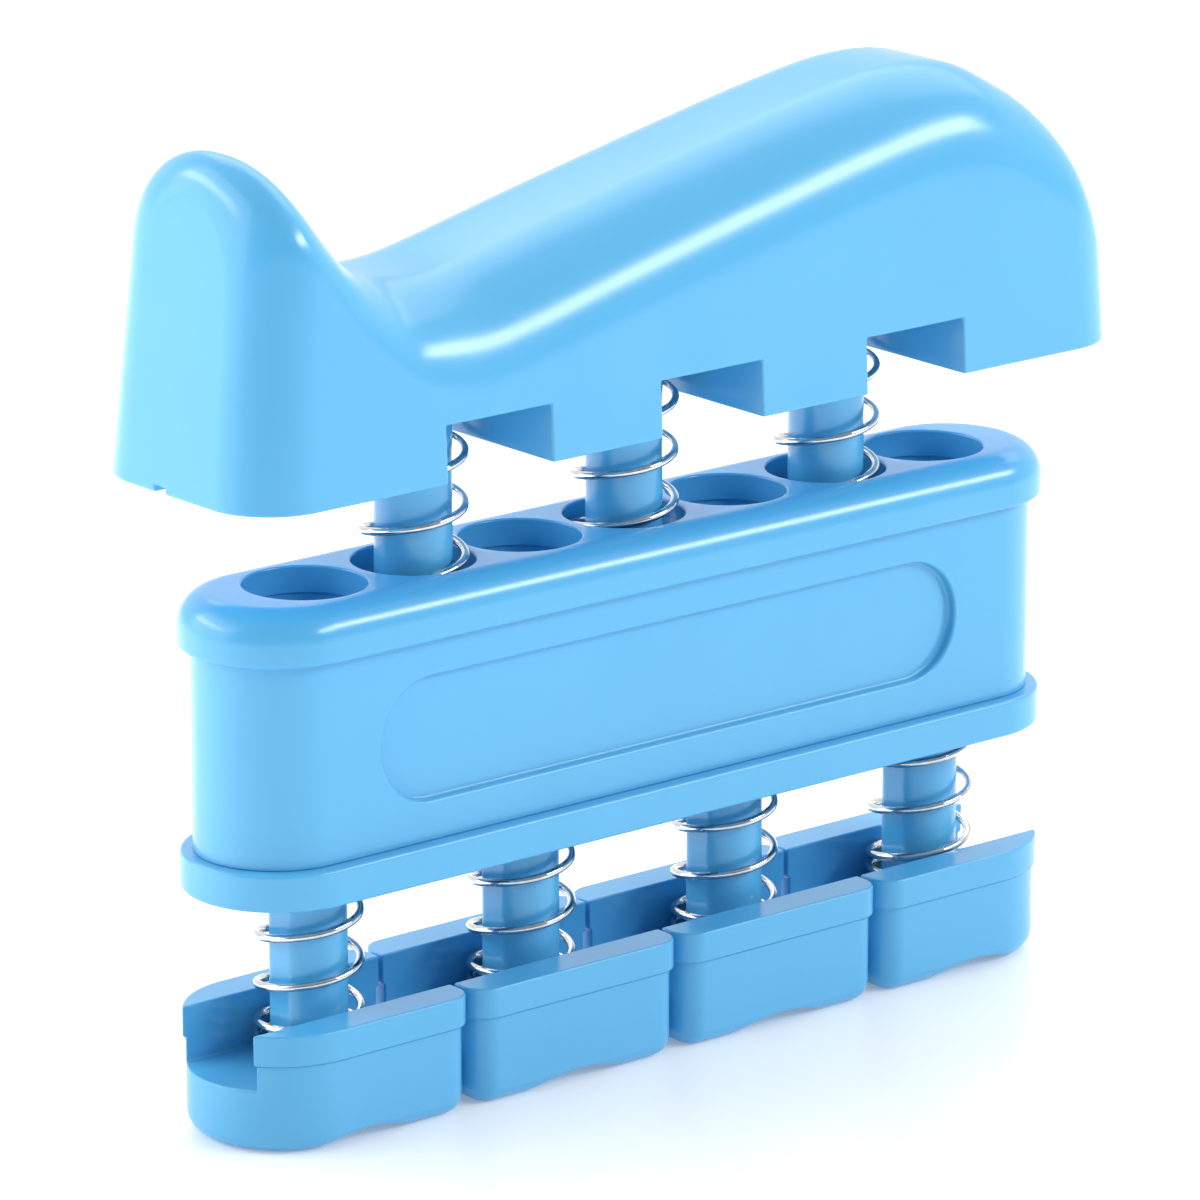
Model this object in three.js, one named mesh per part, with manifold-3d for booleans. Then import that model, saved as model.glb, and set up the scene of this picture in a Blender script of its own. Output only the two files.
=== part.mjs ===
// Finger exerciser: a palm rest and four finger buttons that slide on sprung posts in one slim body.
// Millimetres, +Z up, X along the row of fingers, -Y is the front. The buttons' undersides are at z = 0.
import * as THREE from "three";
import { mergeVertices } from "three/addons/utils/BufferGeometryUtils.js";
import Module from "manifold-3d";

const wasm = await Module();
wasm.setup();

// ---------- driving dimensions ----------
const PITCH = 10.5; // between neighbouring bores
const FINGER_X = [-3, -1, 1, 3].map((n) => n * PITCH);
const PALM_X = [-2, 0, 2].map((n) => n * PITCH);
const BORE_X = [-3, -2, -1, 0, 1, 2, 3].map((n) => n * PITCH);
const SEAT_GAP = 0.05; // between pieces that touch when assembled

// heights
const BUTTON_FLOOR_Z = 5.1;
const BUTTON_LIP_Z = 7.1;
const BUTTON_TOP_Z = 9.6;
const FINGER_GAP = 9.8; // open space between the buttons and the body
const PALM_GAP = 8.85; // open space between the body and the palm rest
const BODY_HEIGHT = 23.3;
const LOWER_CAP_THICK = 3;
const UPPER_CAP_THICK = 4.2;
const BODY_BOTTOM_Z = BUTTON_TOP_Z + FINGER_GAP;
const BODY_TOP_Z = BODY_BOTTOM_Z + BODY_HEIGHT;
const WEB_BOTTOM_Z = BODY_BOTTOM_Z + 10.3;
const WEB_TOP_Z = WEB_BOTTOM_Z + 2;
const PALM_BOTTOM_Z = BODY_TOP_Z + PALM_GAP;
const NOTCH_TOP_Z = PALM_BOTTOM_Z + 4.5;

// plan sizes
const FLANGE = { halfLength: 41.75, halfDepth: 7.6 };
const CORE = { halfLength: 40.8, halfDepth: 6.45 };
const BORE_RADIUS = 4.8;
const CAP_TOP_ROUND = 2.6;
const RECESS = { halfLength: 29.3, height: 9.85, middleZ: BODY_BOTTOM_Z + 11.1, depth: 0.8 };

// palm rest
const PALM = {
  leftX: -44.1,
  rightX: 44.1,
  halfDepth: 10.75,
  cornerRadius: 5.5,
  notchWidth: 10.1,
  leftLean: 0.1, // end faces and sides lean in by these slopes
  rightLean: 0.05,
  sideLean: 0.05,
};
// crest along the middle of the palm rest before its ends are rounded, as heights above its
// underside: hump, saddle, ramp and far end
const CREST = [
  [-44.1, 26.6], [-41.5, 25.8], [-39, 23.8], [-36.5, 21.1], [-34, 18.4], [-31.5, 16.4], [-29, 14.9],
  [-26.5, 14.5], [-22.5, 14.5], [-18, 15.25], [-8, 17.5], [6, 20.5], [17, 22.7], [25, 23.85],
  [31, 23.4], [36, 21], [40, 18.4], [44.1, 17],
];
const CREST_END_ROUND = { left: 4.4, right: 6.5 };
// half width and height of the quarter ellipse over each long upper edge
const EDGE_ROUND = { hump: [9.9, 6.4], ramp: [7.8, 8.2], humpEndsX: -33, rampStartsX: -22 };
const WITNESS_NOTCH = { x: -40, y0: 0.6, y1: 1.8, height: 0.5 }; // moulded, under the tall end
const PALM_SECTIONS = 34;

// finger buttons
const BUTTON_GAP = 0.35;
const BUTTON_CORNER = 2;
const BUTTON_EDGE_ROUND = 1.5;

// posts, springs and fasteners
const POST_RADIUS = 3.02;
const POST_SOCKET_DEPTH = 4;
const GUIDE_CLEARANCE = 0.22;
const FLAT_REACH = 0.914; // of the post's radius
const PILOT = { radius: 1.05, depth: 5.5 };
const SCREW = { shankRadius: 0.95, shankLength: 5, headRadius: 2.3, headHeight: 1.4, slot: 0.7 };
const WASHER = { outerRadius: 4.3, innerRadius: 1.3, thick: 0.6 };
const WIRE_RADIUS = 0.33;
const SPRING_RADIUS = 4.0; // to the middle of the wire

const PALM_COIL = { turns: 7.4, tightBelow: 1, tightAbove: 1, tightPitch: 0.75 };
const FINGER_COIL = { turns: 8.4, tightBelow: 2.4, tightAbove: 1, tightPitch: 1.2 };
const PALM_COIL_STARTS = [2.5, 1.3, 2.6]; // each spring sits turned its own way
const FINGER_COIL_STARTS = [2.2, 2.1, 1.9, 0];

const SMOOTH = 28; // sides of a turned part
const WIRE_SIDES = 5;
const STEPS_PER_TURN = 11;

// ---------- materials ----------
const paint = (color, roughness, metalness) =>
  new THREE.MeshStandardMaterial({ color, roughness, metalness });
const SKY_PLASTIC = paint(0x7cc3f2, 0.28, 0);
const CHROME_WIRE = paint(0xd4d6d8, 0.15, 1);
const ZINC_STEEL = paint(0xb9bcbf, 0.32, 1);

// ---------- solids ----------
function solid(geometry) {
  const bare = geometry.clone();
  bare.deleteAttribute("normal");
  bare.deleteAttribute("uv");
  const merged = mergeVertices(bare, 1e-4);
  return new wasm.Manifold(
    new wasm.Mesh({
      numProp: 3,
      vertProperties: merged.attributes.position.array,
      triVerts: new Uint32Array(merged.index.array),
    }),
  );
}

function meshOf(shape, name, material) {
  const data = shape.getMesh();
  const geometry = new THREE.BufferGeometry();
  geometry.setAttribute("position", new THREE.BufferAttribute(data.vertProperties, 3));
  geometry.setIndex(new THREE.BufferAttribute(data.triVerts, 1));
  const mesh = new THREE.Mesh(geometry, material);
  mesh.name = name;
  return mesh;
}

function block(x0, x1, y0, y1, z0, z1) {
  const geometry = new THREE.BoxGeometry(x1 - x0, y1 - y0, z1 - z0);
  geometry.translate((x0 + x1) / 2, (y0 + y1) / 2, (z0 + z1) / 2);
  return solid(geometry);
}

function drum(x, z0, z1, radius, sides = SMOOTH) {
  const geometry = new THREE.CylinderGeometry(radius, radius, z1 - z0, sides);
  geometry.rotateX(Math.PI / 2);
  geometry.translate(x, 0, (z0 + z1) / 2);
  return solid(geometry);
}

// A rectangle between two x values with its own corner radius at each end.
function roundedOutline(x0, x1, halfDepth, leftRadius, rightRadius) {
  const outline = new THREE.Shape();
  outline.moveTo(x0 + leftRadius, -halfDepth);
  outline.lineTo(x1 - rightRadius, -halfDepth);
  outline.absarc(x1 - rightRadius, -halfDepth + rightRadius, rightRadius, -Math.PI / 2, 0);
  outline.absarc(x1 - rightRadius, halfDepth - rightRadius, rightRadius, 0, Math.PI / 2);
  outline.lineTo(x0 + leftRadius, halfDepth);
  outline.absarc(x0 + leftRadius, halfDepth - leftRadius, leftRadius, Math.PI / 2, Math.PI);
  outline.absarc(x0 + leftRadius, -halfDepth + leftRadius, leftRadius, Math.PI, Math.PI * 1.5);
  return outline;
}

function stadium({ halfLength, halfDepth }) {
  const radius = halfDepth - 0.01;
  return roundedOutline(-halfLength, halfLength, halfDepth, radius, radius);
}

function stadiumEnds({ halfLength, halfDepth }) {
  const radius = halfDepth - 0.01;
  return { x0: -halfLength, x1: halfLength, halfDepth, leftRadius: radius, rightRadius: radius };
}

function slab(outline, z0, z1, curveSegments = 8) {
  const geometry = new THREE.ExtrudeGeometry(outline, {
    depth: z1 - z0,
    bevelEnabled: false,
    curveSegments,
  });
  geometry.translate(0, 0, z0);
  return solid(geometry);
}

// Closes a ring that lies across Z, or across X for a lengthwise loft.
const fillOutline = (points) => THREE.ShapeUtils.triangulateShape(points, []);
const flatCap = (ring) => fillOutline(ring.map(([x, y]) => new THREE.Vector2(x, y)));
const endCap = (ring) => fillOutline(ring.map(([, y, z]) => new THREE.Vector2(y, z)));

// Closed skin over a stack of rings with equal point counts, each a list of [x, y, z], anticlockwise.
function loft(rings, capOf = flatCap) {
  const count = rings[0].length;
  const triangles = [];
  for (let r = 0; r + 1 < rings.length; r++) {
    for (let i = 0; i < count; i++) {
      const a = r * count + i;
      const b = r * count + ((i + 1) % count);
      triangles.push(a, b, b + count, a, b + count, a + count);
    }
  }
  const last = (rings.length - 1) * count;
  for (const [a, b, c] of capOf(rings.at(-1))) triangles.push(last + a, last + b, last + c);
  for (const [a, b, c] of capOf(rings[0])) triangles.push(c, b, a);
  const geometry = new THREE.BufferGeometry();
  geometry.setAttribute("position", new THREE.Float32BufferAttribute(rings.flat(2), 3));
  geometry.setIndex(triangles);
  return solid(geometry);
}

// Points round a rectangle with its own corner radius at each end, moved in by an inset.
function outlineRing({ x0, x1, halfDepth, leftRadius, rightRadius }, inset, z, steps = 8) {
  const points = [];
  const corner = (cx, cy, radius, from) => {
    for (let i = 0; i <= steps; i++) {
      const angle = from + (i / steps) * (Math.PI / 2);
      points.push([cx + radius * Math.cos(angle), cy + radius * Math.sin(angle), z]);
    }
  };
  const right = rightRadius - inset;
  const left = leftRadius - inset;
  const y = halfDepth - inset;
  corner(x1 - inset - right, right - y, right, -Math.PI / 2);
  corner(x1 - inset - right, y - right, right, 0);
  corner(x0 + inset + left, y - left, left, Math.PI / 2);
  corner(x0 + inset + left, left - y, left, Math.PI);
  return points;
}

// Rings of an edge rounded over by a quarter circle; direction +1 closes upwards, -1 opens from below.
function roundedRings(outline, z, round, direction, steps = 4) {
  const rings = [];
  for (let i = 0; i <= steps; i++) {
    const angle = (i / steps) * (Math.PI / 2);
    const inset = round * (1 - Math.cos(angle));
    rings.push(outlineRing(outline, inset, z + direction * round * (Math.sin(angle) - 1)));
  }
  return direction > 0 ? rings : rings.reverse();
}

// A prism along Y from an outline drawn in X and Z.
function prismAlongY(outline, y0, y1, curveSegments = 8) {
  const geometry = new THREE.ExtrudeGeometry(outline, {
    depth: y1 - y0,
    bevelEnabled: false,
    curveSegments,
  });
  geometry.rotateX(Math.PI / 2);
  geometry.translate(0, y1, 0);
  return solid(geometry);
}

// ---------- body ----------
function buildUpperCap() {
  const bottom = BODY_TOP_Z - UPPER_CAP_THICK;
  const outline = stadiumEnds(FLANGE);
  const rings = [outlineRing(outline, 0, bottom)];
  let cap = loft(rings.concat(roundedRings(outline, BODY_TOP_Z, CAP_TOP_ROUND, 1)));
  for (const x of BORE_X) cap = cap.subtract(drum(x, bottom - 1, BODY_TOP_Z + 1, BORE_RADIUS));
  return cap;
}

function buildLowerCap() {
  const top = BODY_BOTTOM_Z + LOWER_CAP_THICK;
  let cap = slab(stadium(FLANGE), BODY_BOTTOM_Z, top);
  for (const x of BORE_X) cap = cap.subtract(drum(x, BODY_BOTTOM_Z - 1, top + 1, BORE_RADIUS));
  return cap;
}

function recessCutter(side) {
  const halfHeight = RECESS.height / 2;
  const outline = roundedOutline(
    -RECESS.halfLength,
    RECESS.halfLength,
    halfHeight,
    halfHeight - 0.01,
    halfHeight - 0.01,
  );
  const inner = CORE.halfDepth - RECESS.depth;
  const near = side < 0 ? -CORE.halfDepth - 2 : inner;
  const cutter = prismAlongY(outline, near, near + RECESS.depth + 2);
  return cutter.translate([0, 0, RECESS.middleZ]);
}

function buildHousing() {
  const bottom = BODY_BOTTOM_Z + LOWER_CAP_THICK + SEAT_GAP;
  const top = BODY_TOP_Z - UPPER_CAP_THICK - SEAT_GAP;
  let core = slab(stadium(CORE), bottom, top);
  for (const x of BORE_X) {
    core = core.subtract(drum(x, bottom - 1, WEB_BOTTOM_Z, BORE_RADIUS));
    core = core.subtract(drum(x, WEB_TOP_Z, top + 1, BORE_RADIUS));
  }
  for (const x of PALM_X) {
    core = core.subtract(drum(x, WEB_BOTTOM_Z - 1, WEB_TOP_Z + 1, POST_RADIUS + GUIDE_CLEARANCE, 24));
  }
  for (const x of FINGER_X) {
    core = core.subtract(flattedPost(x, WEB_BOTTOM_Z - 1, WEB_TOP_Z + 1, GUIDE_CLEARANCE));
  }
  core = core.subtract(recessCutter(-1));
  return core.subtract(recessCutter(1));
}

// ---------- posts ----------
function flattedPost(x, z0, z1, clearance = 0) {
  const radius = POST_RADIUS + clearance;
  const reach = POST_RADIUS * FLAT_REACH + clearance;
  return drum(x, z0, z1, radius, 24).intersect(block(x - reach, x + reach, -10, 10, z0, z1));
}

function buildPalmPost(x) {
  const end = WEB_BOTTOM_Z - 0.02;
  const post = drum(x, end, NOTCH_TOP_Z + POST_SOCKET_DEPTH, POST_RADIUS, 24);
  return post.subtract(drum(x, end - 1, end + PILOT.depth, PILOT.radius, 10));
}

function buildFingerPost(x) {
  const end = WEB_TOP_Z + 0.02;
  const post = flattedPost(x, BUTTON_FLOOR_Z - POST_SOCKET_DEPTH + 1, end);
  return post.subtract(drum(x, end - PILOT.depth, end + 1, PILOT.radius, 10));
}

// ---------- springs ----------
// A helix with tight turns at both ends and an even pitch between them.
class Helix extends THREE.Curve {
  constructor(x, z0, z1, startAngle, { turns, tightBelow, tightAbove, tightPitch }) {
    super();
    this.x = x;
    this.z0 = z0;
    this.turns = turns;
    this.startAngle = startAngle;
    this.tightBelow = tightBelow;
    this.openTurns = turns - tightBelow - tightAbove;
    this.tightPitch = tightPitch;
    this.openPitch = (z1 - z0 - (tightBelow + tightAbove) * tightPitch) / this.openTurns;
  }
  heightAt(turn) {
    const below = Math.min(turn, this.tightBelow);
    const open = Math.min(Math.max(turn - this.tightBelow, 0), this.openTurns);
    const above = Math.max(turn - this.tightBelow - this.openTurns, 0);
    return this.z0 + (below + above) * this.tightPitch + open * this.openPitch;
  }
  getPoint(t, target = new THREE.Vector3()) {
    const turn = t * this.turns;
    const angle = this.startAngle + turn * 2 * Math.PI;
    return target.set(
      this.x + SPRING_RADIUS * Math.cos(angle),
      SPRING_RADIUS * Math.sin(angle),
      this.heightAt(turn),
    );
  }
}

function wireSection() {
  const section = new THREE.Shape();
  for (let i = 0; i < WIRE_SIDES; i++) {
    const angle = (i * 2 * Math.PI) / WIRE_SIDES;
    const point = [WIRE_RADIUS * Math.cos(angle), WIRE_RADIUS * Math.sin(angle)];
    if (i === 0) section.moveTo(...point);
    else section.lineTo(...point);
  }
  section.closePath();
  return section;
}

function buildSpring(x, seatBelow, seatAbove, startAngle, coil) {
  const margin = WIRE_RADIUS + SEAT_GAP;
  const path = new Helix(x, seatBelow + margin, seatAbove - margin, startAngle, coil);
  const geometry = new THREE.ExtrudeGeometry(wireSection(), {
    steps: Math.round(coil.turns * STEPS_PER_TURN),
    extrudePath: path,
    bevelEnabled: false,
    curveSegments: 1,
  });
  return solid(geometry);
}

// ---------- fasteners ----------
function buildWasher(x, z0) {
  const ring = drum(x, z0, z0 + WASHER.thick, WASHER.outerRadius, 24);
  return ring.subtract(drum(x, z0 - 1, z0 + 2, WASHER.innerRadius, 12));
}

// direction +1: the shank points up from a head below it; -1: the other way round.
function buildScrew(x, seat, direction) {
  const zs = (a, b) => [Math.min(a, b), Math.max(a, b)];
  const [shank0, shank1] = zs(seat, seat + direction * SCREW.shankLength);
  const [head0, head1] = zs(seat, seat - direction * SCREW.headHeight);
  const outer = seat - direction * SCREW.headHeight;
  const [slot0, slot1] = zs(outer - direction, outer + direction * SCREW.slot);
  const shank = drum(x, shank0, shank1, SCREW.shankRadius, 10);
  let head = drum(x, head0, head1, SCREW.headRadius, 16);
  head = head.subtract(block(x - 1.6, x + 1.6, -0.3, 0.3, slot0, slot1));
  head = head.subtract(block(x - 0.3, x + 0.3, -1.6, 1.6, slot0, slot1));
  return shank.add(head);
}

// ---------- finger buttons ----------
const LIP_REACH = 0.4;
const CHANNEL_HALF_WIDTH = 4.4;
const GROOVE = { radius: 10, depth: 1 };

function buttonOutline(index, inset) {
  const full = FLANGE.halfDepth - 0.01 - inset;
  const first = index === 0;
  const last = index === FINGER_X.length - 1;
  return {
    x0: inset + (first ? -FLANGE.halfLength : FINGER_X[index] - PITCH + BUTTON_GAP / 2),
    x1: -inset + (last ? FLANGE.halfLength : FINGER_X[index] + PITCH - BUTTON_GAP / 2),
    halfDepth: FLANGE.halfDepth - inset,
    leftRadius: first ? full : BUTTON_CORNER,
    rightRadius: last ? full : BUTTON_CORNER,
  };
}

function buildFingerButton(index) {
  const x = FINGER_X[index];
  const lower = buttonOutline(index, LIP_REACH);
  const lip = buttonOutline(index, 0);
  const rings = roundedRings(lower, 0, BUTTON_EDGE_ROUND, -1);
  rings.push(outlineRing(lower, 0, BUTTON_LIP_Z));
  rings.push(outlineRing(lip, 0, BUTTON_LIP_Z + SEAT_GAP));
  rings.push(outlineRing(lip, 0, BUTTON_TOP_Z));
  let button = loft(rings);
  const channel = block(x - 20, x + 20, -CHANNEL_HALF_WIDTH, CHANNEL_HALF_WIDTH, BUTTON_FLOOR_Z, 30);
  button = button.subtract(channel);
  const groove = new THREE.CylinderGeometry(GROOVE.radius, GROOVE.radius, 40, 48);
  groove.translate(x, 0, 0);
  const cutter = solid(groove).translate([0, 0, GROOVE.depth - GROOVE.radius]);
  button = button.subtract(cutter);
  return button.subtract(
    flattedPost(x, BUTTON_FLOOR_Z - POST_SOCKET_DEPTH + 1 - SEAT_GAP, BUTTON_FLOOR_Z + 1, SEAT_GAP),
  );
}

// ---------- palm rest ----------
const EDGE_STEPS = 7;
const crestPoints = new THREE.SplineCurve(CREST.map(([x, z]) => new THREE.Vector2(x, z))).getPoints(160);

function crestHeight(x) {
  const next = Math.max(1, crestPoints.findIndex((p) => p.x >= x - 1e-6));
  const a = crestPoints[next - 1];
  const b = crestPoints[next];
  return a.y + ((b.y - a.y) * (x - a.x)) / (b.x - a.x);
}

// How far a quarter circle of this radius falls short at a distance in from the end.
function roundDrop(distance, radius) {
  const reach = Math.max(1 - distance / radius, 0);
  return radius * (1 - Math.sqrt(1 - reach * reach));
}

// Half outline of one cross-section, from the underside up to the crest, as [y, z] points.
function palmSection(x) {
  const fromLeft = x - PALM.leftX;
  const fromRight = PALM.rightX - x;
  const leftDrop = roundDrop(fromLeft, CREST_END_ROUND.left);
  const rightDrop = roundDrop(fromRight, CREST_END_ROUND.right);
  const crest = crestHeight(x) - leftDrop - rightDrop;
  const width =
    PALM.halfDepth - roundDrop(fromLeft, PALM.cornerRadius) - roundDrop(fromRight, PALM.cornerRadius);
  const alongRamp = THREE.MathUtils.smoothstep(x, EDGE_ROUND.humpEndsX, EDGE_ROUND.rampStartsX);
  const { hump, ramp } = EDGE_ROUND;
  const wide = THREE.MathUtils.lerp(hump[0], ramp[0], alongRamp);
  const high = THREE.MathUtils.lerp(hump[1], ramp[1], alongRamp);
  const reach = Math.min(wide, width - 0.4);
  const points = [[width, 0]];
  for (let i = 0; i <= EDGE_STEPS; i++) {
    const angle = (i / EDGE_STEPS) * (Math.PI / 2);
    points.push([width - reach * (1 - Math.cos(angle)), crest - high * (1 - Math.sin(angle))]);
  }
  return points;
}

// The end and side faces lean in as they rise.
function lean(x, y, rise) {
  const slope = x < 0 ? PALM.leftLean : PALM.rightLean;
  return [
    x * (1 - (slope * rise) / PALM.rightX),
    y * (1 - (PALM.sideLean * rise) / PALM.halfDepth),
    PALM_BOTTOM_Z + rise,
  ];
}

// Sections crowd towards both ends, where the outline turns fastest.
function buildPalmBlank() {
  const sections = [];
  for (let i = 0; i <= PALM_SECTIONS; i++) {
    const x = PALM.leftX * Math.cos((i / PALM_SECTIONS) * Math.PI);
    const half = palmSection(x);
    const back = half.map(([y, z]) => lean(x, y, z));
    const front = half.map(([y, z]) => lean(x, -y, z)).reverse();
    sections.push(back.concat(front));
  }
  return loft(sections, endCap);
}

function buildPalmRest() {
  let rest = buildPalmBlank();
  for (const x of PALM_X) {
    const half = PALM.notchWidth / 2;
    rest = rest.subtract(block(x - half, x + half, -20, 20, PALM_BOTTOM_Z - 5, NOTCH_TOP_Z));
    const socketTop = NOTCH_TOP_Z + POST_SOCKET_DEPTH + SEAT_GAP;
    rest = rest.subtract(drum(x, NOTCH_TOP_Z - 1, socketTop, POST_RADIUS + SEAT_GAP, 24));
  }
  const { x, y0, y1, height } = WITNESS_NOTCH;
  return rest.subtract(block(-60, x, y0, y1, PALM_BOTTOM_Z - 1, PALM_BOTTOM_Z + height));
}

// ---------- assembly ----------
const exerciser = new THREE.Group();
exerciser.name = "finger_exerciser";
const place = (shape, name, material) => exerciser.add(meshOf(shape, name, material));

place(buildPalmRest(), "palm_rest", SKY_PLASTIC);
place(buildUpperCap(), "upper_cap", SKY_PLASTIC);
place(buildHousing(), "housing", SKY_PLASTIC);
place(buildLowerCap(), "lower_cap", SKY_PLASTIC);

PALM_X.forEach((x, i) => {
  const n = i + 1;
  const washerZ = WEB_BOTTOM_Z - SEAT_GAP - WASHER.thick;
  place(buildPalmPost(x), `palm_post_${n}`, SKY_PLASTIC);
  const spring = buildSpring(x, WEB_TOP_Z, NOTCH_TOP_Z, PALM_COIL_STARTS[i], PALM_COIL);
  place(spring, `palm_spring_${n}`, CHROME_WIRE);
  place(buildWasher(x, washerZ), `palm_washer_${n}`, ZINC_STEEL);
  place(buildScrew(x, washerZ - 0.03, 1), `palm_screw_${n}`, ZINC_STEEL);
});

FINGER_X.forEach((x, i) => {
  const n = i + 1;
  const washerZ = WEB_TOP_Z + SEAT_GAP;
  place(buildFingerButton(i), `finger_button_${n}`, SKY_PLASTIC);
  place(buildFingerPost(x), `finger_post_${n}`, SKY_PLASTIC);
  const spring = buildSpring(x, BUTTON_FLOOR_Z, WEB_BOTTOM_Z, FINGER_COIL_STARTS[i], FINGER_COIL);
  place(spring, `finger_spring_${n}`, CHROME_WIRE);
  place(buildWasher(x, washerZ), `finger_washer_${n}`, ZINC_STEEL);
  place(buildScrew(x, washerZ + WASHER.thick + 0.03, -1), `finger_screw_${n}`, ZINC_STEEL);
});

export default exerciser;
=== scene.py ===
import math

import bmesh
import bpy
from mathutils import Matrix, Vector


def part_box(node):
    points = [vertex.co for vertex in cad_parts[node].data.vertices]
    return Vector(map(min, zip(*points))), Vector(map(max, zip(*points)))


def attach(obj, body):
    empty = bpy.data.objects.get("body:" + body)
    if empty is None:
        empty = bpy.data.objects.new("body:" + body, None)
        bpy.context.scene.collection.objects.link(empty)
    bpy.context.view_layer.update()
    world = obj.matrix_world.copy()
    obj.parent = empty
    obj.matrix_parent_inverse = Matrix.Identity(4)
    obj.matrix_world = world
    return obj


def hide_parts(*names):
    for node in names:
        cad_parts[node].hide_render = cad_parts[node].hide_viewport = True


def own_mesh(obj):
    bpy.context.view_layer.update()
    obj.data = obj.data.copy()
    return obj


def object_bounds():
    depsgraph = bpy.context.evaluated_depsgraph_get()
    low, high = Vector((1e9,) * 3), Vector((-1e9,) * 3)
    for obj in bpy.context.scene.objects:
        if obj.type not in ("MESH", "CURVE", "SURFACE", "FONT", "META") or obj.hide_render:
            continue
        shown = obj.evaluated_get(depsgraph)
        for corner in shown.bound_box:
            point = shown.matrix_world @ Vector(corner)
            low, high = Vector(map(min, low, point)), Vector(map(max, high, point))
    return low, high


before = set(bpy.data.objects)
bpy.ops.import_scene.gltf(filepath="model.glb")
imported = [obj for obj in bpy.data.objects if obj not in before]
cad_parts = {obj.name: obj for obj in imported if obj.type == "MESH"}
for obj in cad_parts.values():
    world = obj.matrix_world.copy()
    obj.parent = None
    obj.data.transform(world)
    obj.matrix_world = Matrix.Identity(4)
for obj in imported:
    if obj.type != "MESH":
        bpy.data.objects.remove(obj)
cad_low, cad_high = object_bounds()

MM = 0.001
FINGERS = (1, 2, 3, 4)
PALMS = (1, 2, 3)


# ---------- dimensions, from the frame ----------
def box_mm(node):
    low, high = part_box(node)
    return low / MM, high / MM


def middle(node):
    low, high = box_mm(node)
    return (low + high) / 2


FINGER_X = [middle(f"finger_post_{n}").x for n in FINGERS]
PALM_X = [middle(f"palm_post_{n}").x for n in PALMS]
BORE_X = sorted(FINGER_X + PALM_X)
PITCH = (FINGER_X[-1] - FINGER_X[0]) / 6

upper_low, upper_high = box_mm("upper_cap")
lower_low, lower_high = box_mm("lower_cap")
core_low, core_high = box_mm("housing")
palm_low, palm_high = box_mm("palm_rest")
post_low, post_high = box_mm("palm_post_1")
flat_low, flat_high = box_mm("finger_post_1")
button_low, button_high = box_mm("finger_button_1")
palm_coil_low, palm_coil_high = box_mm("palm_spring_1")
finger_coil_low, finger_coil_high = box_mm("finger_spring_1")

FLANGE = (upper_high.x, upper_high.y)  # half length, half depth
CORE = (core_high.x, core_high.y)
PALM_FLOOR = palm_low.z
PALM_END = palm_high.x
PALM_DEPTH = palm_high.y
POST_RADIUS = post_high.y
POST_FLAT = (flat_high.x - flat_low.x) / 2

# dimensions that the boxes don't give
BORE_RADIUS = 4.8
CAP_TOP_ROUND = 2.6
CAP_TOP_STEPS = 14
CAP_EDGE = 0.3
BORE_EDGE = 0.2
BORE_RELIEF = 0.2
LID_THICKNESS = 2.15
WEB = (core_low.z + 7.25, core_low.z + 9.25)  # underside and top of the web across the bores
GUIDE_CLEARANCE = 0.22
RECESS = {"half_length": 29.3, "half_height": 4.925, "z": 30.5, "depth": 0.8, "edge": 0.25}
NOTCH = {"half": 5.05, "height": 4.5}
WIRE_RADIUS = 0.33
COIL_RADIUS = 4.0
SEAT_GAP = 0.05
COLLAR = 0.6  # width of the flat ring round a post's socket


# ---------- mesh helpers ----------
STADIUM_STEPS = 40  # per round end
EDGE_STEPS = 4  # across a small rounded edge


def ring(bm, points):
    return [bm.verts.new(p) for p in points]


def bridge(bm, a, b, closed=True):
    count = len(a)
    for i in range(count if closed else count - 1):
        j = (i + 1) % count
        bm.faces.new((a[i], a[j], b[j], b[i]))


def loft(bm, rings):
    """Bridges point lists one after another and returns the first and last ring of vertices."""
    made = [ring(bm, points) for points in rings]
    for a, b in zip(made, made[1:]):
        bridge(bm, a, b)
    return made[0], made[-1]


def fill(bm, *loops):
    """A flat face between an outer loop and the holes in it."""
    edges = []
    for loop in loops:
        for a, b in zip(loop, loop[1:] + loop[:1]):
            edges.append(bm.edges.get((a, b)) or bm.edges.new((a, b)))
    bmesh.ops.triangle_fill(bm, use_beauty=True, edges=edges)


def circle(x, z, radius, steps=72, flat=None):
    """Points round a bore or post; flat cuts the circle at that distance either side in x."""
    reach = flat or radius
    points = []
    for i in range(steps):
        angle = 2 * math.pi * (i + 0.5) / steps
        across = max(-reach, min(reach, radius * math.cos(angle)))
        points.append((x + across, radius * math.sin(angle), z))
    return points


def stadium(half_length, half_depth, z, inset=0.0):
    """Outline with round ends; inset draws it in without moving the ends' centres."""
    radius = half_depth - inset
    centre = half_length - half_depth
    points = []
    for side, start in ((1, -math.pi / 2), (-1, math.pi / 2)):
        for i in range(STADIUM_STEPS + 1):
            angle = start + math.pi * i / STADIUM_STEPS
            points.append((side * centre + radius * math.cos(angle), radius * math.sin(angle), z))
    return points


def quarter_angles(steps):
    return [math.pi / 2 * i / steps for i in range(steps + 1)]


def quarter(radius, steps):
    """(inset, drop) pairs of a rounded edge, from the side face up to the end face."""
    return [(radius * (1 - math.cos(a)), radius * (1 - math.sin(a))) for a in quarter_angles(steps)]


def smoothstep(x, low, high):
    t = min(max((x - low) / (high - low), 0.0), 1.0)
    return t * t * (3 - 2 * t)


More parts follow.
